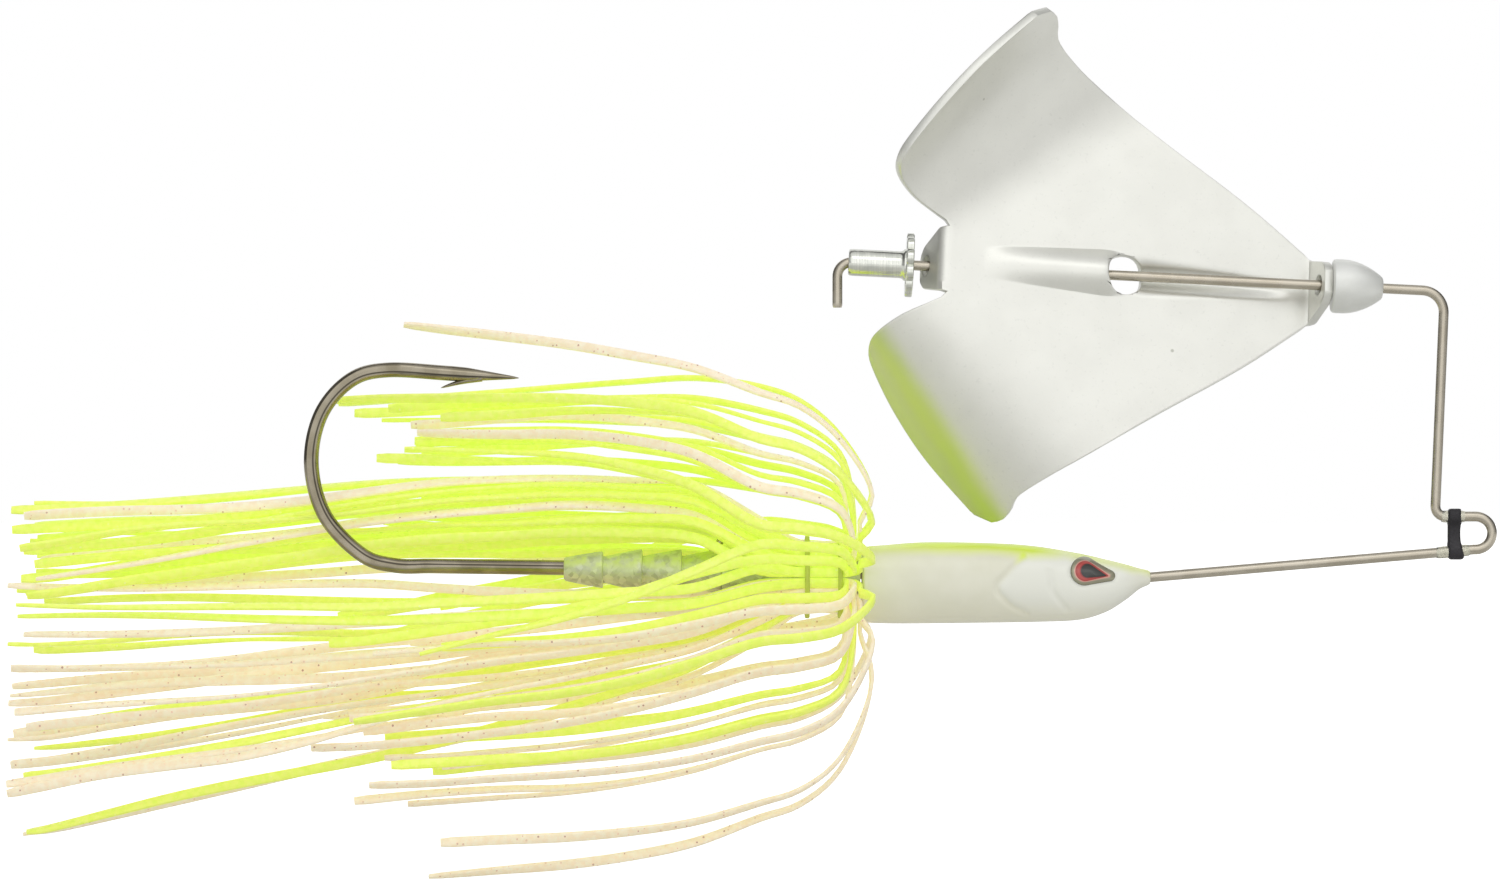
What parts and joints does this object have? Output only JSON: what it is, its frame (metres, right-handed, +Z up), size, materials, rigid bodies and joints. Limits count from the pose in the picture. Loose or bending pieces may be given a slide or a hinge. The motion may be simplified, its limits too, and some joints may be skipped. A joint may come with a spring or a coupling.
{
  "type": "buzzbait spinnerbait",
  "caption": "Skirted lead-head fishing lure on a bent wire frame, with a two-winged cupped blade that spins on the upper wire behind a bead.",
  "frame": {"origin": "centre of the line tie, the open bight at the front end of the wire, where the line is tied on", "axes": "+X forward out of the line tie along the length of the lure, +Z up towards the blade's wire, the hook and the wire lie in the plane Y = 0"},
  "size_m": [0.1495, 0.0282, 0.0871],
  "materials": {
    "pearl_paint": "pearl white enamel on lead, chartreuse over the back, bare grey lead on the barbed keeper",
    "blade_paint": "pearl white enamel on stamped aluminium, chartreuse bands on the cups",
    "eye_paint": "glossy domed eye with silver rim, red ring and dark pupil",
    "wire_steel": "bright spring steel wire",
    "black_nickel": "dark nickel plate",
    "rivet_aluminium": "bright drawn aluminium",
    "bead_plastic": "pearl grey satin plastic",
    "black_rubber": "matte black tube",
    "band_rubber": "dark olive rubber band",
    "chartreuse_silicone": "translucent chartreuse silicone ribbon",
    "cream_silicone": "translucent cream silicone ribbon with red-brown flakes"
  },
  "bodies": {
    "frame": {"eye_left": "eye_paint", "eye_right": "eye_paint", "head": "pearl_paint", "hook": "black_nickel", "keeper_spike": "wire_steel", "line_tie_sleeve": "black_rubber", "skirt_band_front": "band_rubber", "skirt_band_rear": "band_rubber", "strand_01": "cream_silicone", "strand_02": "chartreuse_silicone", "strand_03": "chartreuse_silicone", "strand_04": "chartreuse_silicone", "strand_05": "cream_silicone", "strand_06": "cream_silicone", "strand_07": "cream_silicone", "strand_08": "cream_silicone", "strand_09": "cream_silicone", "strand_10": "chartreuse_silicone", "strand_11": "chartreuse_silicone", "strand_12": "chartreuse_silicone", "strand_13": "chartreuse_silicone", "strand_14": "chartreuse_silicone", "strand_15": "cream_silicone", "strand_16": "chartreuse_silicone", "strand_17": "cream_silicone", "strand_18": "cream_silicone", "strand_19": "chartreuse_silicone", "strand_20": "cream_silicone", "strand_21": "cream_silicone", "strand_22": "chartreuse_silicone", "strand_23": "cream_silicone", "strand_24": "cream_silicone", "strand_25": "chartreuse_silicone", "strand_26": "chartreuse_silicone", "strand_27": "chartreuse_silicone", "strand_28": "chartreuse_silicone", "strand_29": "cream_silicone", "strand_30": "chartreuse_silicone", "strand_31": "chartreuse_silicone", "strand_32": "chartreuse_silicone", "strand_33": "chartreuse_silicone", "strand_34": "chartreuse_silicone", "strand_35": "cream_silicone", "strand_36": "cream_silicone", "strand_37": "chartreuse_silicone", "strand_38": "cream_silicone", "strand_39": "cream_silicone", "strand_40": "chartreuse_silicone", "strand_41": "cream_silicone", "strand_42": "cream_silicone", "strand_43": "chartreuse_silicone", "strand_44": "chartreuse_silicone", "strand_45": "chartreuse_silicone", "strand_46": "chartreuse_silicone", "strand_47": "chartreuse_silicone", "strand_48": "chartreuse_silicone", "wire_arm": "wire_steel"},
    "bead": {"bullet_bead": "bead_plastic"},
    "blade": {"buzz_blade": "blade_paint"},
    "rivet": {"star_rivet": "rivet_aluminium"}
  },
  "joints": [
    {"name": "bead_slide", "type": "slide", "parent": "frame", "child": "bead", "axis": [0.9988, 0, -0.049], "range_m": [-0.0006, 0.0038]},
    {"name": "blade_spin", "type": "hinge", "parent": "bead", "child": "blade", "pos_m": [-0.03515, 0, 0.02573], "axis": [0.9988, 0, -0.049], "continuous": true},
    {"name": "rivet_spin", "type": "hinge", "parent": "frame", "child": "rivet", "pos_m": [-0.03515, 0, 0.02573], "axis": [0.9988, 0, -0.049], "continuous": true}
  ]
}
